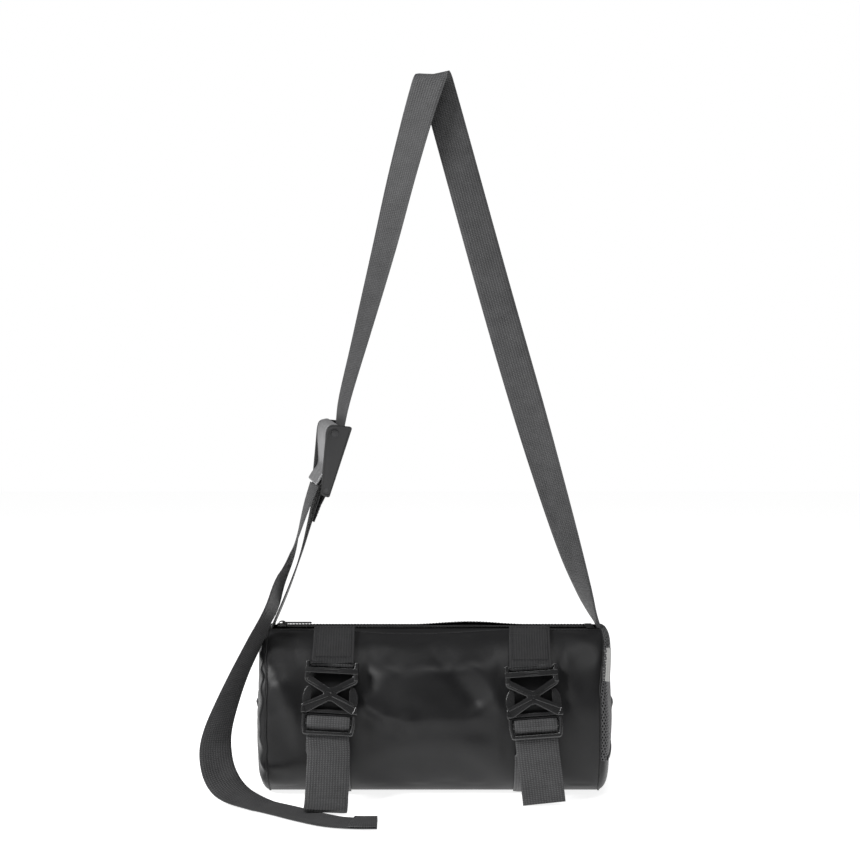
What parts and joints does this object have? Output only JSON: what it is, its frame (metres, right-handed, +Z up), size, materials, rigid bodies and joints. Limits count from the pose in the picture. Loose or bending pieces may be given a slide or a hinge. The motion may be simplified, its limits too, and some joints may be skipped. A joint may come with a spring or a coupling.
{
  "type": "barrel shoulder bag",
  "caption": "Barrel-shaped nylon bag with a top zip, front webbing with side-release buckles, a mesh end and a crossbody strap with a metal cam buckle.",
  "frame": {"origin": "centre of the barrel's flat base, on the surface it rests on", "axes": "+X along the barrel to the mesh end, +Y to the back, away from the front buckles, +Z up"},
  "size_m": [0.3842, 0.2434, 0.6754],
  "materials": {
    "nylon": "satin woven",
    "lining_cloth": "matt woven",
    "mesh_cloth": "open mesh",
    "webbing": "ribbed webbing",
    "buckle_plastic": "semi-gloss",
    "coated_metal": "satin black coat",
    "lever_metal": "satin",
    "bright_metal": "bright",
    "label_cloth": "plain"
  },
  "bodies": {
    "bag": {"adjuster_frame": "coated_metal", "adjuster_lower_bar": "coated_metal", "adjuster_pin": "bright_metal", "adjuster_spring": "bright_metal", "body_wrap": "nylon", "buckle_female_left": "buckle_plastic", "buckle_female_right": "buckle_plastic", "buckle_tab_left": "webbing", "buckle_tab_right": "webbing", "end_mesh_right": "mesh_cloth", "end_panel_left": "nylon", "end_panel_right_lower": "nylon", "lining": "lining_cloth", "mesh_seam_tape": "nylon", "piping_left": "nylon", "piping_right": "nylon", "shoulder_strap_long": "webbing", "shoulder_strap_short": "webbing", "side_label": "label_cloth", "strap_tail": "webbing", "zip_chain": "webbing", "zip_end_tab": "nylon", "zip_tape_front": "webbing", "zip_tape_rear": "webbing"},
    "slider": {"zip_slider": "bright_metal"},
    "puller": {"zip_puller": "bright_metal"},
    "male_left": {"buckle_male_left": "buckle_plastic", "compression_strap_left": "webbing"},
    "male_right": {"buckle_male_right": "buckle_plastic", "compression_strap_right": "webbing"},
    "prong_left_outer": {"prong_left_outer": "buckle_plastic"},
    "prong_left_inner": {"prong_left_inner": "buckle_plastic"},
    "prong_right_outer": {"prong_right_outer": "buckle_plastic"},
    "prong_right_inner": {"prong_right_inner": "buckle_plastic"},
    "lever": {"adjuster_lever": "lever_metal"}
  },
  "joints": [
    {"name": "zip_slide", "type": "slide", "parent": "bag", "child": "slider", "axis": [1, 0, 0], "range_m": [0, 0.262]},
    {"name": "zip_puller_hinge", "type": "hinge", "parent": "slider", "child": "puller", "pos_m": [-0.1445, 0, 0.1494], "axis": [0, -1, 0], "range_deg": [0, 75]},
    {"name": "buckle_left_release", "type": "slide", "parent": "bag", "child": "male_left", "axis": [-0.0523, -0.2753, -0.9599], "range_m": [0, 0.028], "deforming": ["compression_strap_left"]},
    {"name": "prong_left_outer_squeeze", "type": "hinge", "parent": "male_left", "child": "prong_left_outer", "pos_m": [-0.11388, -0.08284, 0.08512], "axis": [0, 0.9613, -0.2756], "range_deg": [0, 8], "stiffness_Nm_per_rad": 0.2},
    {"name": "prong_left_inner_squeeze", "type": "hinge", "parent": "male_left", "child": "prong_left_inner", "pos_m": [-0.07474, -0.08341, 0.08315], "axis": [0, -0.9613, 0.2756], "range_deg": [0, 8], "stiffness_Nm_per_rad": 0.2},
    {"name": "buckle_right_release", "type": "slide", "parent": "bag", "child": "male_right", "axis": [0.0698, -0.275, -0.9589], "range_m": [0, 0.028], "deforming": ["compression_strap_right"]},
    {"name": "prong_right_outer_squeeze", "type": "hinge", "parent": "male_right", "child": "prong_right_outer", "pos_m": [0.10816, -0.08274, 0.08266], "axis": [0, -0.9613, 0.2756], "range_deg": [0, 8], "stiffness_Nm_per_rad": 0.2},
    {"name": "prong_right_inner_squeeze", "type": "hinge", "parent": "male_right", "child": "prong_right_inner", "pos_m": [0.06906, -0.0835, 0.08003], "axis": [0, 0.9613, -0.2756], "range_deg": [0, 8], "stiffness_Nm_per_rad": 0.2},
    {"name": "cam_lever_open", "type": "hinge", "parent": "bag", "child": "lever", "pos_m": [-0.0997, 0, 0.333], "axis": [-0.3031, 0.9392, 0.1616], "range_deg": [0, 50], "stiffness_Nm_per_rad": 0.05}
  ]
}
